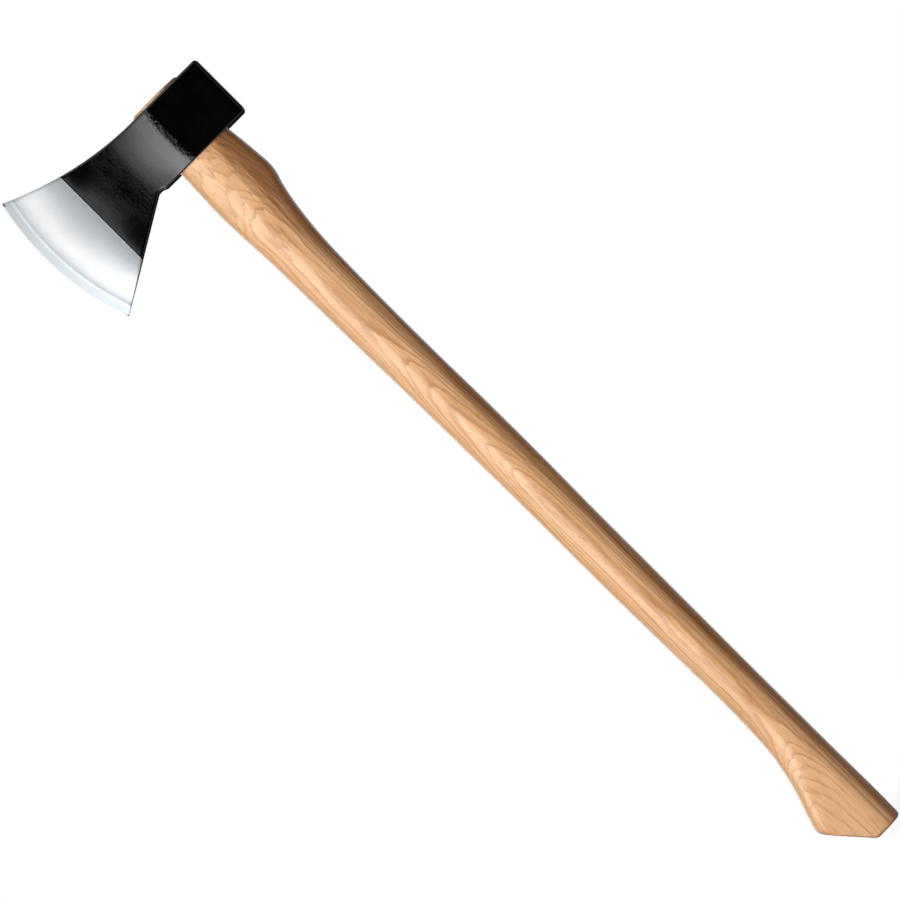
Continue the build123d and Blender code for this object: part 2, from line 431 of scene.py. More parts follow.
def haft_section(z, angle):
    """A point of the haft's section: an oval that turns squarer, with flat sides, at the knob."""
    if z >= 0:
        return eye_point(z, angle)
    front, back, width = haft_outline(z)
    x, y = oval_point(front, back, width, angle)
    knob = ease((KNOB_TOP - z) / (KNOB_TOP - KNOB_FULL))
    if knob > 0:
        power = 2 / KNOB_SQUARENESS
        along_x, along_y = cos(angle), sin(angle)
        square_x = (front + back) / 2 + copysign((back - front) / 2 * abs(along_x)**power, along_x)
        square_y = copysign(width / 2 * abs(along_y)**power, along_y)
        front_share = ease((END_CUT_X - x) / KNOB_FRONT_REACH)
        x = blend(x, square_x, knob * front_share)
        y = blend(y, square_y, knob * front_share)
        flat = min(FACET_HALF + FACET_SLOPE * max(FACET_APEX - z, 0.0), side_y)
        y = copysign(soft_min(abs(y), flat, FACET_BLEND), y)
    return x, y


def end_height(x):
    return haft_end_z + max(END_CUT_X - x, 0.0) * END_CUT_SLOPE


HAFT_AROUND = 112
LEAN_STEPS, LEAN_STRIDE = 12, 0.7       # enough to find where a line down the knob meets the cut end
END_CAP_INSET = 0.8


def haft_point(station, step):
    """A point of the haft; a station is its kind, its height or share of the knob, inset and rise."""
    kind, value, inset, rise = station
    angle = step / HAFT_AROUND * 2 * pi
    if kind == "ring":
        x, y = haft_section(value, angle)
        z = value
        if inset:
            x, y = eye_point(z, angle, -inset)
        return Vector((x, y, z))
    # Below the knob's top the rings lean over little by little to lie along the cut end.
    end_z = haft_end_z
    for _ in range(LEAN_STEPS):
        end_z = blend(end_z, end_height(haft_section(end_z, angle)[0]), LEAN_STRIDE)
    z = blend(KNOB_TOP, end_z + END_ROUND, value)
    x, y = haft_section(z, angle)
    if inset:
        front, back, _ = haft_outline(z)
        away = Vector((x - (front + back) / 2, y))
        away *= 1 - inset / away.length
        x, y = (front + back) / 2 + away.x, away.y
        z = end_height(x) + rise
    return Vector((x, y, z))


def haft_stations():
    stations = [("ring", tongue_top, TONGUE_ROUND + CAP_INSET, 0)]
    for drop, inset in quarter_round(TONGUE_ROUND, 0, ROUND_STEPS):
        stations.append(("ring", tongue_top - drop, inset, 0))
    # Each stretch: where it starts and ends, and how many rings it has.
    for start, end, count in (
        (tongue_top - TONGUE_ROUND, 0.0, 12), (0.0, NECK_END, 55), (NECK_END, KNOB_TOP, 90)
    ):
        stations += [("ring", z, 0, 0) for z in spread(start, end, count)]
    stations += [("knob", share, 0, 0) for share in spread(0.0, 1.0, 60)]
    stations.append(("knob", 1.0, 0, 0))
    for inset, rise in quarter_round(END_ROUND, 1, ROUND_STEPS + 1):
        stations.append(("knob", 1.0, inset, rise))
    stations.append(("knob", 1.0, END_ROUND + END_CAP_INSET, 0))
    return stations


def taper_box(length, foot_z, foot_width, top_z, top_width, turn):
    """A block that tapers downwards, long along X before it is turned about Z."""
    bm = bmesh.new()
    bmesh.ops.create_cube(bm, size=2.0)
    for vert in bm.verts:
        upper = vert.co.z > 0
        vert.co.x *= length / 2
        vert.co.y *= (top_width if upper else foot_width) / 2
        vert.co.z = top_z if upper else foot_z
    bmesh.ops.rotate(bm, cent=(0, 0, 0), matrix=Matrix.Rotation(radians(turn), 3, "Z"), verts=bm.verts)
    return bm


def cut_slot(haft, length, depth, foot_width, mouth_width, turn):
    """Takes a tapered slot out of the tongue's top, for one of the wedges."""
    widen = (mouth_width - foot_width) / depth * CUT_MARGIN
    top_z = tongue_top + CUT_MARGIN
    cut(haft, taper_box(length, tongue_top - depth, foot_width, top_z, mouth_width + widen, turn))


def make_haft():
    bm = loft(HAFT_AROUND, haft_stations(), haft_point)
    close_ends(bm)
    # The knob's cap is folded where the flat end meets the slanted cut.
    fold = [face for face in bm.faces if len(face.verts) > 4 and face.calc_center_median().z < KNOB_TOP]
    geometry = fold + [edge for face in fold for edge in face.edges]
    geometry += [vert for face in fold for vert in face.verts]
    bmesh.ops.bisect_plane(
        bm, geom=list(set(geometry)), dist=SEAM, plane_co=(END_CUT_X, 0, 0), plane_no=(1, 0, 0)
    )
    haft = make_piece("hickory_haft", bm)
    cut_slot(haft, KERF_REACH, tongue_top - KERF_FLOOR, KERF_FOOT, KERF_MOUTH, 0)
    cut_slot(haft, STEEL_LENGTH, STEEL_DEPTH, STEEL_FOOT, STEEL_MOUTH, STEEL_TURN)
    smooth(haft)
    return haft


# ---- Material helpers ----
class Nodes:
    """Adds nodes to a tree and links their sockets, given by name or, as i0 and i1, by number."""

    def __init__(self, tree):
        self.tree = tree

    def add(self, kind, settings=None, **inputs):
        node = self.tree.nodes.new("ShaderNode" + kind)
        for name, value in (settings or {}).items():
            setattr(node, name, value)
        for name, value in inputs.items():
            key = int(name[1:]) if name[0] == "i" and name[1:].isdigit() else name.replace("_", " ")
            self.put(node.inputs[key], value)
        return node

    def put(self, socket, value):
        if isinstance(value, bpy.types.NodeSocket):
            self.tree.links.new(value, socket)
        else:
            socket.default_value = value

    def math(self, operation, first, second=0.0):
        return self.add("Math", {"operation": operation}, i0=first, i1=second).outputs[0]

    def noise(self, vector, scale, detail=2.0, roughness=0.5):
        node = self.add("TexNoise", None, Vector=vector, Scale=scale, Detail=detail, Roughness=roughness)
        return node.outputs["Fac"]

    def stretch(self, vector, scale, location=(0, 0, 0), rotation=(0, 0, 0)):
        node = self.add("Mapping", None, Vector=vector, Scale=scale, Location=location, Rotation=rotation)
        return node.outputs[0]

    def ramp(self, value, stops):
        """A value looked up between stops of place and grey."""
        node = self.add("ValToRGB", None, Fac=value)
        elements = node.color_ramp.elements
        while len(elements) < len(stops):
            elements.new(0.5)
        for element, (place, shade) in zip(elements, stops):
            element.position = place
            element.color = (shade, shade, shade, 1.0)
        return node.outputs["Color"]

    def mix(self, share, first, second):
        """Two colours mixed; sockets 0, 6 and 7 are the share and the two colours, output 2 the mix."""
        node = self.add("Mix", {"data_type": "RGBA"})
        self.put(node.inputs[0], share)
        self.put(node.inputs[6], (*first, 1.0) if isinstance(first, tuple) else first)
        self.put(node.inputs[7], (*second, 1.0) if isinstance(second, tuple) else second)
        return node.outputs[2]

    def remap(self, value, low, high, to_low, to_high, shape="LINEAR"):
        node = self.add("MapRange", {"interpolation_type": shape}, Value=value)
        for name, number in (("From Min", low), ("From Max", high), ("To Min", to_low), ("To Max", to_high)):
            node.inputs[name].default_value = number
        return node.outputs[0]

    def apart(self, first, second):
        """How far apart two values are."""
        return self.math("ABSOLUTE", self.math("SUBTRACT", first, second))

    def place_mm(self):
        """Object coordinates in millimetres."""
        coordinates = self.add("TexCoord").outputs["Object"]
        return self.stretch(coordinates, (1 / MM, 1 / MM, 1 / MM))

    def bump(self, height):
        """A normal from a height in millimetres."""
        return self.add("Bump", None, Strength=1.0, Distance=MM, Height=height).outputs[0]


def new_group(name, inputs, outputs):
    """A shader node group with its named sockets; returns it with its builder and its two ends."""
    group = bpy.data.node_groups.new(name, "ShaderNodeTree")
    for socket, kind, value in inputs:
        item = group.interface.new_socket(name=socket, in_out="INPUT", socket_type="NodeSocket" + kind)
        if value is not None:
            item.default_value = value
    for socket, kind in outputs:
        group.interface.new_socket(name=socket, in_out="OUTPUT", socket_type="NodeSocket" + kind)
    nodes = Nodes(group)
    start = group.nodes.new("NodeGroupInput")
    end = group.nodes.new("NodeGroupOutput")
    return group, nodes, start.outputs, end.inputs


def use_group(nodes, group, **inputs):
    node = nodes.tree.nodes.new("ShaderNodeGroup")
    node.node_tree = group
    for name, value in inputs.items():
        nodes.put(node.inputs[name], value)
    return node.outputs


def new_material(name):
    material = bpy.data.materials.new(name)
    material.use_nodes = True
    nodes = Nodes(material.node_tree)
    shader = material.node_tree.nodes["Principled BSDF"]
    return material, nodes, shader.inputs


# ---- Node groups ----
# Places are in millimetres, so a noise's stretch is how many of its lumps lie along each millimetre.
def wood_figure_group():
    """Growth rings, fibres and pores of a ring-porous wood, from the depth into its layers."""
    group, nodes, given, result = new_group(
        "wood_figure",
        [("Place", "Vector", None), ("Layer", "Float", 0.0), ("Pitch", "Float", 1.0)],
        [("Ring", "Float"), ("Fibre", "Float"), ("Pore", "Float"), ("Tone", "Float")],
    )
    place, layer, pitch = given["Place"], given["Layer"], given["Pitch"]
    turns = nodes.math("DIVIDE", layer, pitch)
    # Wide and narrow years.
    drift = nodes.add("TexNoise", {"noise_dimensions": "1D"}, W=turns, Scale=0.32, Detail=1.0).outputs["Fac"]
    turns = nodes.math("ADD", turns, nodes.remap(drift, 0.0, 1.0, -1.3, 1.3))
    phase = nodes.math("FRACT", turns)
    # Each year starts with a dark porous line that fades into plain wood.
    line = nodes.ramp(
        phase, [(0.0, 0.8), (0.06, 1.0), (0.14, 0.8), (0.28, 0.30), (0.55, 0.10), (0.93, 0.0), (1.0, 0.8)]
    )
    year = nodes.math("FLOOR", turns)
    year_strength = nodes.add("TexWhiteNoise", {"noise_dimensions": "1D"}, W=year).outputs["Value"]
    strength = nodes.remap(year_strength, 0.0, 1.0, 0.55, 1.0)
    patch = nodes.noise(nodes.stretch(place, (0.16, 0.16, 0.02)), 1.0)
    strength = nodes.math("MULTIPLY", strength, nodes.remap(patch, 0.3, 0.7, 0.55, 1.1))
    nodes.put(result["Ring"], nodes.math("MULTIPLY", line, strength))

    fibre = nodes.noise(nodes.stretch(place, (2.6, 2.6, 0.040)), 1.0, detail=4.0, roughness=0.65)
    nodes.put(result["Fibre"], nodes.remap(fibre, 0.3, 0.7, 0.0, 1.0))
    cell = nodes.noise(nodes.stretch(place, (4.0, 4.0, 0.14)), 1.0, detail=1.0)
    pore = nodes.remap(cell, 0.56, 0.68, 0.0, 1.0)
    near_ring = nodes.remap(line, 0.1, 0.8, 0.12, 1.0)
    nodes.put(result["Pore"], nodes.math("MULTIPLY", pore, near_ring))
    tone = nodes.noise(nodes.stretch(place, (0.07, 0.07, 0.009), location=(3, 7, 1)), 1.0, detail=3.0)
    nodes.put(result["Tone"], nodes.remap(tone, 0.3, 0.7, 0.0, 1.0))
    return group


def handling_group():
    """Faint scuffs, handling marks and dust specks that break up a hard finish."""
    group, nodes, given, result = new_group(
        "handling_marks",
        [("Place", "Vector", None), ("Size", "Float", 1.0)],
        [("Smudge", "Float"), ("Scratch", "Float"), ("Speck", "Float")],
    )
    place = nodes.add("VectorMath", {"operation": "SCALE"}, i0=given["Place"], Scale=given["Size"]).outputs[0]
    smudge = nodes.noise(place, 0.06, detail=4.0, roughness=0.6)
    nodes.put(result["Smudge"], nodes.remap(smudge, 0.35, 0.7, 0.0, 1.0))
    turned = nodes.stretch(place, (0.08, 1.0, 3.2), rotation=(0, radians(24), 0))
    scratch = nodes.noise(turned, 1.0, detail=2.0)
    nodes.put(result["Scratch"], nodes.remap(scratch, 0.70, 0.78, 0.0, 1.0))
    speck = nodes.noise(place, 1.9, detail=1.0)
    nodes.put(result["Speck"], nodes.remap(speck, 0.76, 0.80, 0.0, 1.0))
    return group


wood_figure = wood_figure_group()
handling_marks = handling_group()


# ---- Materials ----
LAYER_RISE = [              # height up the haft, and how deep into the layers its middle lies there
    (-641.0, -4.1),
    (-590.0, -3.7),
    (-540.0, -3.2),
    (-400.0, -2.5),
    (-340.0, -1.9),
    (-265.0, 1.2),
    (-215.0, 2.9),
    (-150.0, 5.4),
    (-68.0, 6.4),
    (-43.0, 9.1),
    (0.0, 10.4),
    (50.0, 11.0),
]
KNOB_SPREAD = (-530.0, -605.0)      # heights between which the layers lean over more, at the knob
KNOB_FAINT = (-545.0, -585.0)       # and between which its rings turn fainter
SWELL_WANDER = (-110.0, -50.0)      # the grain starts to wander more between these
SHADE_START, SHADE_END = 2.5, 12.5    # painted shade darkens the wood between these x
RING_PITCH = 1.15
LEAN_X = 8.0                        # the layers lean about this line
PALE_WOOD, GOLD_WOOD = (0.765, 0.450, 0.232), (0.842, 0.530, 0.296)
FIBRE_COLOUR = (0.530, 0.255, 0.092)
# Painted shade: the wood and its rings turn to these darker colours towards the back of the haft.
PAINTED_SHADE_WOOD = (0.275, 0.112, 0.034)
RING_FRONT, SHADED_RING = (0.415, 0.168, 0.044), (0.105, 0.036, 0.010)
PORE_COLOUR = (0.250, 0.108, 0.042)
END_GRAIN = (0.280, 0.135, 0.055)
WEDGE_WOOD, WEDGE_FIBRE = (0.420, 0.250, 0.130), (0.310, 0.170, 0.082)
WEDGE_RING, WEDGE_PORE = (0.200, 0.100, 0.045), (0.110, 0.055, 0.025)
WEDGE_PITCH = 1.9
PAINT_CLEAN, PAINT_HANDLED = (0.0008, 0.0008, 0.0009), (0.0014, 0.0014, 0.0016)
DUST = (0.05, 0.05, 0.05)
GRIND_DARK, GRIND_LIGHT = (0.56, 0.58, 0.60), (0.63, 0.65, 0.66)   # between the grinding lines and on them
GRIND_STREAK = (0.53, 0.55, 0.57)
PAINTED_HIGHLIGHT_STEEL = (0.66, 0.65, 0.65)     # painted highlight: a brighter band, its middle this far in from the bevel
HIGHLIGHT_DEPTH = 12.0
BEVEL_STEEL = (0.44, 0.455, 0.465)
BORDER_STEEL = (0.80, 0.80, 0.80)   # bright line where the grinding meets the paint
WEDGE_STEEL, WEDGE_GRIME = (0.40, 0.40, 0.40), (0.26, 0.24, 0.22)
SCRATCH_STEEL = (0.60, 0.60, 0.60)


def hickory_material():
    """Pale warm hickory under satin lacquer, with its layers lying flat along the haft's sides, and painted
    shade towards its back.
    """
    material, nodes, shader = new_material("lacquered_hickory")
    place = nodes.place_mm()
    parts = nodes.add("SeparateXYZ", None, Vector=place).outputs
    low, high = LAYER_RISE[0][0], LAYER_RISE[-1][0]
    deepest, shallowest = LAYER_RISE[0][1], LAYER_RISE[-1][1]
    up = nodes.remap(parts["Z"], low, high, 0.0, 1.0)
    curve = nodes.add("FloatCurve", None, Value=up)
    points = curve.mapping.curves[0].points
    while len(points) < len(LAYER_RISE):
        points.new(0.5, 0.5)
    for point, (height, depth) in zip(points, LAYER_RISE):
        point.location = ((height - low) / (high - low), (depth - deepest) / (shallowest - deepest))
        point.handle_type = "AUTO"
    curve.mapping.update()
    rise = nodes.remap(curve.outputs[0], 0.0, 1.0, deepest, shallowest)

    # The layers lean more across the knob, where the haft is sawn wider than it grew straight.
    tilt = nodes.remap(parts["Z"], *KNOB_SPREAD, 0.16, 0.21)
    lean = nodes.math("MULTIPLY", nodes.math("SUBTRACT", parts["X"], LEAN_X), tilt)
    layer = nodes.math("ADD", nodes.math("ADD", parts["Y"], lean), rise)
    wave = nodes.noise(nodes.stretch(place, (0.034, 0.034, 0.008)), 1.0, detail=1.0)
    wobble = nodes.noise(nodes.stretch(place, (0.15, 0.15, 0.035), location=(5, 0, 2)), 1.0, detail=2.0)
    # The grain wanders most where the haft is swollen under the head.
    wander = nodes.remap(parts["Z"], *SWELL_WANDER, 1.0, 3.0)
    layer = nodes.math("ADD", layer, nodes.remap(wave, 0.0, 1.0, -2.4, 2.4))
    layer = nodes.math("ADD", layer, nodes.math("MULTIPLY", nodes.math("SUBTRACT", wobble, 0.5), wander))
    figure = use_group(nodes, wood_figure, Place=place, Layer=layer, Pitch=RING_PITCH)

    base = nodes.mix(figure["Tone"], PALE_WOOD, GOLD_WOOD)
    fibre = nodes.remap(figure["Fibre"], 0.25, 0.9, 0.0, 0.85)
    base = nodes.mix(fibre, base, FIBRE_COLOUR)
    # Painted shade: the wood is darkened towards the back of the haft, in streaks, and so are its rings.
    drawn = nodes.stretch(place, (0.55, 0.55, 0.010), location=(2, 5, 0))
    streak = nodes.noise(drawn, 1.0, detail=3.0, roughness=0.6)
    back = nodes.math("ADD", parts["X"], nodes.remap(streak, 0.3, 0.7, -4.0, 4.0))
    back = nodes.remap(back, SHADE_START, SHADE_END, 0.0, 1.0)
    base = nodes.mix(back, base, PAINTED_SHADE_WOOD)
    ring_colour = nodes.mix(back, RING_FRONT, SHADED_RING)
    # The rings are fainter across the knob.
    ring = nodes.math("MULTIPLY", figure["Ring"], nodes.remap(parts["Z"], *KNOB_FAINT, 1.0, 0.62))
    base = nodes.mix(ring, base, ring_colour)
    base = nodes.mix(nodes.math("MULTIPLY", figure["Pore"], 0.58), base, PORE_COLOUR)
    # End grain drinks the lacquer and turns darker.
    normal = nodes.add("SeparateXYZ", None, Vector=nodes.add("NewGeometry").outputs["Normal"]).outputs["Z"]
    upward = nodes.remap(normal, 0.45, 0.8, 0.0, 0.45)
    downward = nodes.remap(normal, -0.35, -0.75, 0.0, 0.85)
    end_grain = nodes.math("MAXIMUM", upward, downward)
    base = nodes.mix(end_grain, base, END_GRAIN)
    nodes.put(shader["Base Color"], base)
    rough = nodes.remap(figure["Fibre"], 0.0, 1.0, 0.40, 0.50)
    nodes.put(shader["Roughness"], rough)
    shader["Coat Weight"].default_value = 0.80
    shader["Coat IOR"].default_value = 1.9
    shader["Coat Roughness"].default_value = 0.34
    height = nodes.math("MULTIPLY", figure["Pore"], -0.018)
    height = nodes.math("ADD", height, nodes.math("MULTIPLY", figure["Fibre"], 0.008))
    nodes.put(shader["Normal"], nodes.bump(height))
    return material


def wedge_wood_material():
    """Darker end grain of the driven wooden wedge."""
    material, nodes, shader = new_material("wedge_end_grain")
    place = nodes.place_mm()
    parts = nodes.add("SeparateXYZ", None, Vector=place).outputs
    wave = nodes.noise(nodes.stretch(place, (0.12, 0.2, 0.03)), 1.0)
    layer = nodes.math("ADD", parts["X"], nodes.remap(wave, 0.0, 1.0, -2.0, 2.0))
    figure = use_group(nodes, wood_figure, Place=place, Layer=layer, Pitch=WEDGE_PITCH)
    base = nodes.mix(figure["Fibre"], WEDGE_WOOD, WEDGE_FIBRE)
    base = nodes.mix(nodes.math("MULTIPLY", figure["Ring"], 0.55), base, WEDGE_RING)
    base = nodes.mix(nodes.math("MULTIPLY", figure["Pore"], 0.6), base, WEDGE_PORE)
    nodes.put(shader["Base Color"], base)
    nodes.put(shader["Roughness"], nodes.remap(figure["Fibre"], 0.0, 1.0, 0.52, 0.66))
    height = nodes.math("MULTIPLY", figure["Pore"], -0.05)
    nodes.put(shader["Normal"], nodes.bump(height))
    return material


def black_paint_material():
    """Gloss black paint, dipped over a forged surface, with its orange peel."""
    material, nodes, shader = new_material("gloss_black_paint")
    place = nodes.place_mm()
    marks = use_group(nodes, handling_marks, Place=place, Size=1.0)
    base = nodes.mix(marks["Smudge"], PAINT_CLEAN, PAINT_HANDLED)
    base = nodes.mix(nodes.math("MULTIPLY", marks["Speck"], 0.10), base, DUST)
    nodes.put(shader["Base Color"], base)
    rough = nodes.remap(marks["Smudge"], 0.0, 1.0, 0.10, 0.17)
    nodes.put(shader["Roughness"], rough)
    shader["IOR"].default_value = 1.55
    shader["Coat Weight"].default_value = 1.0
    shader["Coat IOR"].default_value = 1.45
    shader["Coat Roughness"].default_value = 0.06
    forging = nodes.noise(place, 0.06, detail=1.0)
    peel = nodes.noise(place, 0.50, detail=1.5, roughness=0.5)
    height = nodes.math("MULTIPLY", forging, 0.12)
    # The peel is coarser where the paint ran thick, along the crease and over the waist.
    parts = nodes.add("SeparateXYZ", None, Vector=place).outputs
    off_crease = nodes.apart(parts["X"], CREASE_X - CREASE_BOW / 2)
    off_waist = nodes.apart(parts["X"], WAIST_X + 1.0)
    along_crease = nodes.remap(off_crease, 2.0, 6.0, 1.0, 0.0)
    over_waist = nodes.remap(off_waist, 5.0, 11.0, 0.08, 0.0)
    thick = nodes.math("ADD", along_crease, over_waist)
    peel = nodes.math("MULTIPLY", peel, nodes.remap(thick, 0.0, 1.0, 0.020, 0.46))
    grit = nodes.noise(nodes.stretch(place, (1, 1, 1), location=(4, 9, 2)), 0.95, detail=2.0, roughness=0.6)
    grit = nodes.math("MULTIPLY", grit, nodes.remap(off_crease, 2.0, 7.0, 0.10, 0.012))
    height = nodes.math("ADD", nodes.math("ADD", height, peel), grit)
    nodes.put(shader["Normal"], nodes.bump(height))
    return material


def ground_steel_material():
    """Bit ground bright and left satin, with fine grinding lines, a painted highlight band and a smoother,
    greyer bevel.
    """
    material, nodes, shader = new_material("ground_steel")
    place = nodes.place_mm()
    marks = use_group(nodes, handling_marks, Place=place, Size=1.0)
    parts = nodes.add("SeparateXYZ", None, Vector=place).outputs
    # How far from the centre that the edge is swept about.
    reach_x = nodes.math("SUBTRACT", edge_centre_x, parts["X"])
    reach_z = nodes.math("SUBTRACT", parts["Z"], BELLY_Z)
    square_x = nodes.math("MULTIPLY", reach_x, reach_x)
    square_z = nodes.math("MULTIPLY", reach_z, reach_z)
    sweep = nodes.math("SQRT", nodes.math("ADD", square_x, square_z))
    bevel_sweep = EDGE_RADIUS - BEVEL_DEPTH
    bevel = nodes.remap(sweep, bevel_sweep - 0.3, bevel_sweep + 0.5, 0.0, 1.0)
    lines = nodes.noise(nodes.stretch(place, (0.05, 1.0, 5.5)), 1.0, detail=3.0, roughness=0.6)
    broad = nodes.noise(nodes.stretch(place, (0.02, 1.0, 0.35)), 1.0, detail=2.0)
    base = nodes.mix(nodes.remap(lines, 0.3, 0.7, 0.0, 1.0), GRIND_DARK, GRIND_LIGHT)
    base = nodes.mix(nodes.remap(broad, 0.35, 0.65, 0.0, 0.4), base, GRIND_STREAK)
    # Painted highlight: a brighter band of steel that follows the arc of the cutting edge.
    off_highlight = nodes.apart(sweep, bevel_sweep - HIGHLIGHT_DEPTH)
    base = nodes.mix(nodes.remap(off_highlight, 3.0, 14.0, 1.0, 0.0), base, PAINTED_HIGHLIGHT_STEEL)
    base = nodes.mix(bevel, base, BEVEL_STEEL)
    border = nodes.remap(parts["X"], PAINT_X - 0.7, PAINT_X - 0.3, 0.0, 0.6)
    base = nodes.mix(border, base, BORDER_STEEL)
    nodes.put(shader["Base Color"], base)
    shader["Metallic"].default_value = 1.0
    rough = nodes.remap(lines, 0.3, 0.7, 0.30, 0.38)
    rough = nodes.math("SUBTRACT", rough, nodes.math("MULTIPLY", bevel, 0.06))
    rough = nodes.math("ADD", rough, nodes.math("MULTIPLY", marks["Smudge"], 0.04))
    nodes.put(shader["Roughness"], rough)
    height = nodes.math("MULTIPLY", lines, 0.006)
    height = nodes.math("SUBTRACT", height, nodes.math("MULTIPLY", marks["Scratch"], 0.003))
    nodes.put(shader["Normal"], nodes.bump(height))
    return material


def wedge_steel_material():
    """Plain mild steel of the cross wedge, dulled, with hammer marks on its top."""
    material, nodes, shader = new_material("wedge_mild_steel")
    place = nodes.place_mm()
    marks = use_group(nodes, handling_marks, Place=place, Size=3.0)
    base = nodes.mix(marks["Smudge"], WEDGE_STEEL, WEDGE_GRIME)
    base = nodes.mix(nodes.math("MULTIPLY", marks["Scratch"], 0.5), base, SCRATCH_STEEL)
    nodes.put(shader["Base Color"], base)
    shader["Metallic"].default_value = 1.0
    nodes.put(shader["Roughness"], nodes.remap(marks["Smudge"], 0.0, 1.0, 0.34, 0.55))
    dents = nodes.noise(place, 0.9, detail=2.0)
    nodes.put(shader["Normal"], nodes.bump(nodes.math("MULTIPLY", dents, 0.12)))
    return material


# ---- Pieces ----
def dress_head():
    head = make_head()
    head.data.materials.clear()
    head.data.materials.append(black_paint_material())
    head.data.materials.append(ground_steel_material())
    for polygon in head.data.polygons:
        polygon.material_index = 1 if polygon.center.x < PAINT_X * MM else 0
    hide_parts("axe_head")
    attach(head, "root")


def dress_haft():
    haft = make_haft()
    haft.data.materials.clear()
    haft.data.materials.append(hickory_material())
    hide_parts("haft")
    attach(haft, "root")


def dress_wedges():
    for name, material in (("wooden_wedge", wedge_wood_material()), ("steel_wedge", wedge_steel_material())):
        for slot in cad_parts[name].material_slots:
            slot.material = material


dress_head()
dress_haft()
dress_wedges()


# ---- Camera, in metres ----
FRAME_WIDTH = 0.6012        # width of the view at the axe
FRAME_CENTRE = (-0.0251, 0.0, -0.2568)
CAMERA_DISTANCE = 4.0
FAR_CLIP = 100.0
SENSOR = 36.0               # in millimetres


def place_camera():
    """A long lens square to the axe's side, rolled so that the haft runs down to the right."""
    data = bpy.data.cameras.new("camera")
    data.sensor_width = SENSOR
    data.lens = SENSOR * CAMERA_DISTANCE / FRAME_WIDTH
    data.clip_end = FAR_CLIP
    camera = bpy.data.objects.new("camera", data)
    right, up = Vector((1, 0, -1)).normalized(), Vector((1, 0, 1)).normalized()
    back = Vector((0, -1, 0))
    turn = Matrix((right, up, back)).transposed().to_4x4()
    camera.matrix_world = Matrix.Translation(Vector(FRAME_CENTRE) + CAMERA_DISTANCE * back) @ turn
    bpy.context.scene.collection.objects.link(camera)
    bpy.context.scene.camera = camera


# ---- Studio, in metres ----
KEY_TINT, CARD_TINT = (1.0, 0.99, 0.96), (0.95, 0.98, 1.0)
SKY_TINT, FILL_TINT = (0.93, 0.97, 1.0), (1.0, 0.93, 0.84)
WALL_Y = 2.0                # the cards on both sides stand this far out
FRONT_X, END_X = -2.6, 2.6  # and the cards before the bit and behind the poll this far
KEY_EDGE = -0.43            # inner edge of the key cards, which decides which slopes of a cheek shine
KEY_LOW, KEY_HIGH = -1.6, 1.4
SIDE_START, SIDE_END = 1.0, 3.0
END_LOW, END_HIGH = -1.4, 1.2
EDGE_START = 0.2
BROW_LOW, BROW_HIGH = 0.7, 2.3
TOP_HALF = 0.9
KEY_GLOW, EDGE_GLOW, BROW_GLOW, END_GLOW, TOP_GLOW = 3.0, 1.1, 0.7, 0.3, 1.3
# Fades of the cards: axis, dark place, share of the strength left there, bright place.
KEY_INNER_FADES = [("X", KEY_EDGE, 0.0, -0.49), ("X", KEY_EDGE, 0.14, -0.80)]
KEY_UPPER_FADE = ("Z", 0.75, 0.45, -0.15)
# Each side: its sign, name, watts of its key and fill lights, and strength of its side card.
SIDES = [(-1, "front", 60, 1.2, 0.30), (1, "back", 52, 5.0, 1.4)]
END_FILL_POWER = 12.0
KEY_SIZE, FILL_SIZE = 0.9, 1.2
LIGHT_AIM = (0, 0, -0.25)
FLOOR_RADIUS = 0.9
FLOOR_FADE = (0.25, 0.85)   # it turns clear between these distances from the haft
FLOOR_GAP = 0.0002


def empty_nodes(holder):
    """Nodes for a material or a world, starting from an empty tree."""
    holder.use_nodes = True
    holder.node_tree.nodes.clear()
    return Nodes(holder.node_tree)


def studio_card(name, corner_low, corner_high, tint, strength, fades):
    """A large card across one axis that glows for reflections alone, dimmed by its fades."""
    low, high = Vector(corner_low), Vector(corner_high)
    size = high - low
    bm = bmesh.new()
    bmesh.ops.create_grid(bm, x_segments=1, y_segments=1, size=0.5)
    for flat_axis, turn_axis in (("y", "X"), ("x", "Y")):
        if getattr(size, flat_axis) == 0:
            quarter_turn = Matrix.Rotation(radians(90), 3, turn_axis)
            bmesh.ops.rotate(bm, cent=(0, 0, 0), matrix=quarter_turn, verts=bm.verts)
    bmesh.ops.scale(bm, vec=[side or 1 for side in size], verts=bm.verts)
    bmesh.ops.translate(bm, vec=(low + high) / 2, verts=bm.verts)
    mesh = bpy.data.meshes.new(name)
    bm.to_mesh(mesh)
    bm.free()
    card = bpy.data.objects.new(name, mesh)
    card.visible_camera = False
    card.visible_shadow = False
    card.visible_diffuse = False
    bpy.context.scene.collection.objects.link(card)
    material = bpy.data.materials.new(name)
    nodes = empty_nodes(material)
    place = nodes.add("SeparateXYZ", None, Vector=nodes.add("TexCoord").outputs["Object"]).outputs
    power = strength
    for axis, dark_place, dark_share, bright_place in fades:
        share = nodes.remap(place[axis], dark_place, bright_place, dark_share, 1.0, "SMOOTHSTEP")
        power = nodes.math("MULTIPLY", share, power)
    glow = nodes.add("Emission", None, Color=(*tint, 1.0), Strength=power)
    nodes.add("OutputMaterial", None, Surface=glow.outputs[0])
    mesh.materials.append(material)


def build_world():
    """White to the camera, dim and warm to diffuse rays, nearly black to reflections."""
    world = bpy.data.worlds.new("studio")
    bpy.context.scene.world = world
    nodes = empty_nodes(world)

    def sky(tint, strength):
        return nodes.add("Background", None, Color=(*tint, 1.0), Strength=strength).outputs[0]

    path = nodes.add("LightPath").outputs
    ambient = sky((1.0, 0.92, 0.82), 0.06)
    dark = sky((0.9, 0.95, 1.0), 0.004)
    white = sky((1.0, 1.0, 1.0), 1.0)
    lit = nodes.add("MixShader", None, Fac=path["Is Diffuse Ray"], i1=dark, i2=ambient).outputs[0]
    seen = nodes.add("MixShader", None, Fac=path["Is Camera Ray"], i1=lit, i2=white).outputs[0]
    nodes.add("OutputWorld", None, Surface=seen)


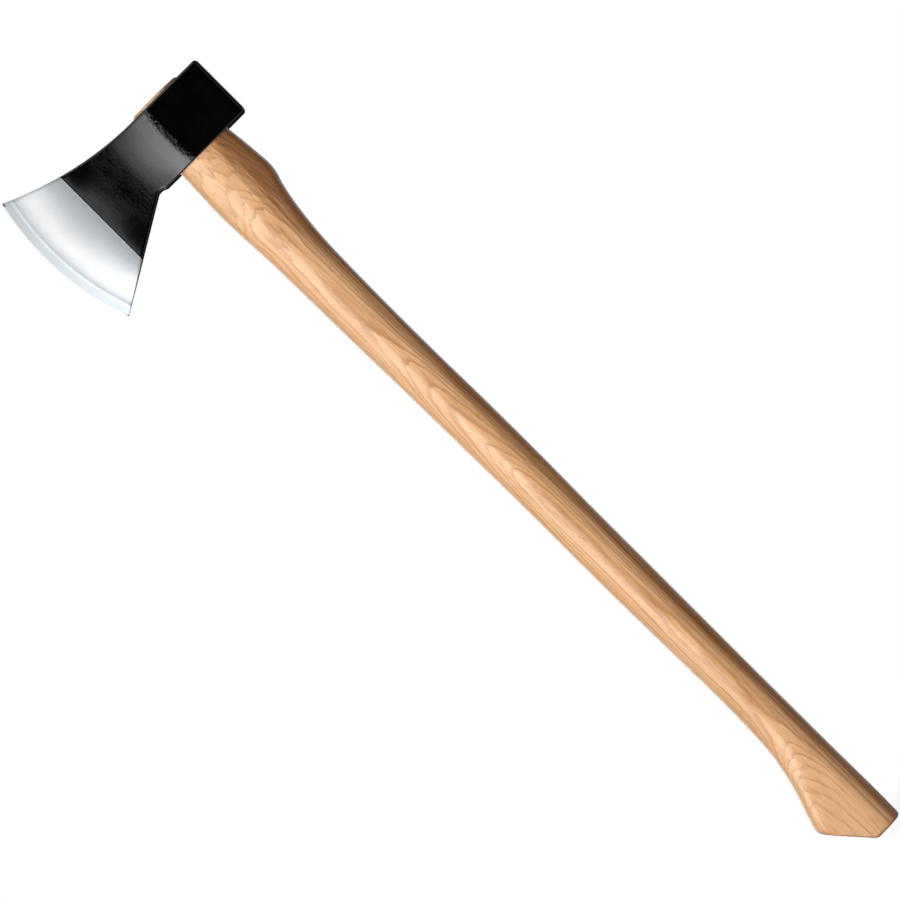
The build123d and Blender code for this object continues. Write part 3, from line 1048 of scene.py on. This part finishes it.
def build_floor():
    """A pale round floor under the end of the haft that fades away before its rim."""
    bm = bmesh.new()
    bmesh.ops.create_circle(bm, cap_ends=True, radius=FLOOR_RADIUS, segments=64)
    bmesh.ops.translate(bm, vec=(0, 0, haft_end_z * MM - FLOOR_GAP), verts=bm.verts)
    mesh = bpy.data.meshes.new("floor")
    bm.to_mesh(mesh)
    bm.free()
    floor = bpy.data.objects.new("floor", mesh)
    bpy.context.scene.collection.objects.link(floor)
    material = bpy.data.materials.new("pale_floor")
    nodes = empty_nodes(material)
    place = nodes.add("TexCoord").outputs["Object"]
    flat_place = nodes.stretch(place, (1, 1, 0))
    far = nodes.add("VectorMath", {"operation": "LENGTH"}, i0=flat_place).outputs["Value"]
    fade = nodes.remap(far, *FLOOR_FADE, 0.0, 1.0)
    lit = nodes.add("BsdfDiffuse", None, Color=(0.55, 0.55, 0.55, 1.0))
    glow = nodes.add("Emission", None, Color=(1.0, 1.0, 1.0, 1.0), Strength=0.72)
    bright = nodes.add("AddShader", None, i0=lit.outputs[0], i1=glow.outputs[0])
    dim = nodes.add("BsdfDiffuse", None, Color=(0.25, 0.25, 0.25, 1.0))
    # Bright to the camera, partly to reflections, and dim to the light that bounces off it.
    path = nodes.add("LightPath").outputs
    reflected = nodes.math("MULTIPLY", path["Is Glossy Ray"], 0.16)
    seen = nodes.math("MAXIMUM", path["Is Camera Ray"], reflected)
    pale = nodes.add("MixShader", None, Fac=seen, i1=dim.outputs[0], i2=bright.outputs[0])
    # It can't be seen from below.
    clear = nodes.add("BsdfTransparent")
    back = nodes.add("NewGeometry").outputs["Backfacing"]
    share = nodes.math("MAXIMUM", fade, back)
    mixed = nodes.add("MixShader", None, Fac=share, i1=pale.outputs[0], i2=clear.outputs[0])
    nodes.add("OutputMaterial", None, Surface=mixed.outputs[0])
    mesh.materials.append(material)


def soft_light(name, place, size, power, tint):
    """A square light aimed at the haft that reflections don't see: the cards are there for those."""
    data = bpy.data.lights.new(name, "AREA")
    data.shape = "SQUARE"
    data.size = size
    data.energy = power
    data.color = tint
    light = bpy.data.objects.new(name, data)
    turn = (Vector(LIGHT_AIM) - Vector(place)).to_track_quat("-Z", "Y").to_matrix().to_4x4()
    light.matrix_world = Matrix.Translation(place) @ turn
    light.visible_camera = False
    light.visible_glossy = False
    bpy.context.scene.collection.objects.link(light)


def build_studio():
    build_world()
    build_floor()
    for side, end, key_power, fill_power, side_glow in SIDES:
        wall_y = WALL_Y * side
        studio_card(
            "key_card_" + end, (FRONT_X, wall_y, KEY_LOW), (KEY_EDGE, wall_y, KEY_HIGH), CARD_TINT, KEY_GLOW,
            KEY_INNER_FADES + [("X", FRONT_X, 0.30, -1.10), KEY_UPPER_FADE],
        )
        low_y, high_y = sorted((EDGE_START * side, wall_y))
        studio_card(
            "edge_card_" + end, (FRONT_X, low_y, KEY_LOW), (FRONT_X, high_y, KEY_HIGH), CARD_TINT, EDGE_GLOW,
            [("Y", EDGE_START * side, 0.0, 1.0 * side), KEY_UPPER_FADE],
        )
        studio_card(
            "side_card_" + end, (SIDE_START, wall_y, END_LOW), (SIDE_END, wall_y, END_HIGH),
            SKY_TINT, side_glow, [("X", SIDE_START, 0.0, 1.5), ("X", SIDE_END, 0.0, 2.2)],
        )
        studio_card(
            "brow_card_" + end, (-1.2, wall_y, BROW_LOW), (1.0, wall_y, BROW_HIGH), SKY_TINT, BROW_GLOW,
            [("Z", BROW_LOW, 0.0, 1.1), ("X", 1.0, 0.0, 0.4)],
        )
        soft_light("key_" + end, (-0.85, 2.1 * side, -0.1), KEY_SIZE, key_power, KEY_TINT)
        soft_light("fill_" + end, (1.6, 1.7 * side, -0.2), FILL_SIZE, fill_power, FILL_TINT)
    soft_light("end_fill", (2.0, 1.3, 0.0), FILL_SIZE, END_FILL_POWER, FILL_TINT)
    studio_card(
        "end_card", (END_X, -0.1, END_LOW), (END_X, WALL_Y, END_HIGH), SKY_TINT, END_GLOW,
        [("Y", -0.1, 0.0, 1.1), ("Z", END_HIGH, 0.3, -0.4)],
    )
    studio_card(
        "top_card", (-TOP_HALF, -TOP_HALF, 2.0), (TOP_HALF, TOP_HALF, 2.0), SKY_TINT, TOP_GLOW,
        [("Y", -TOP_HALF, 0.0, -0.3), ("Y", TOP_HALF, 0.0, 0.3), ("X", TOP_HALF, 0.2, -0.4)],
    )
    bpy.context.scene.view_settings.view_transform = "Standard"


place_camera()
build_studio()
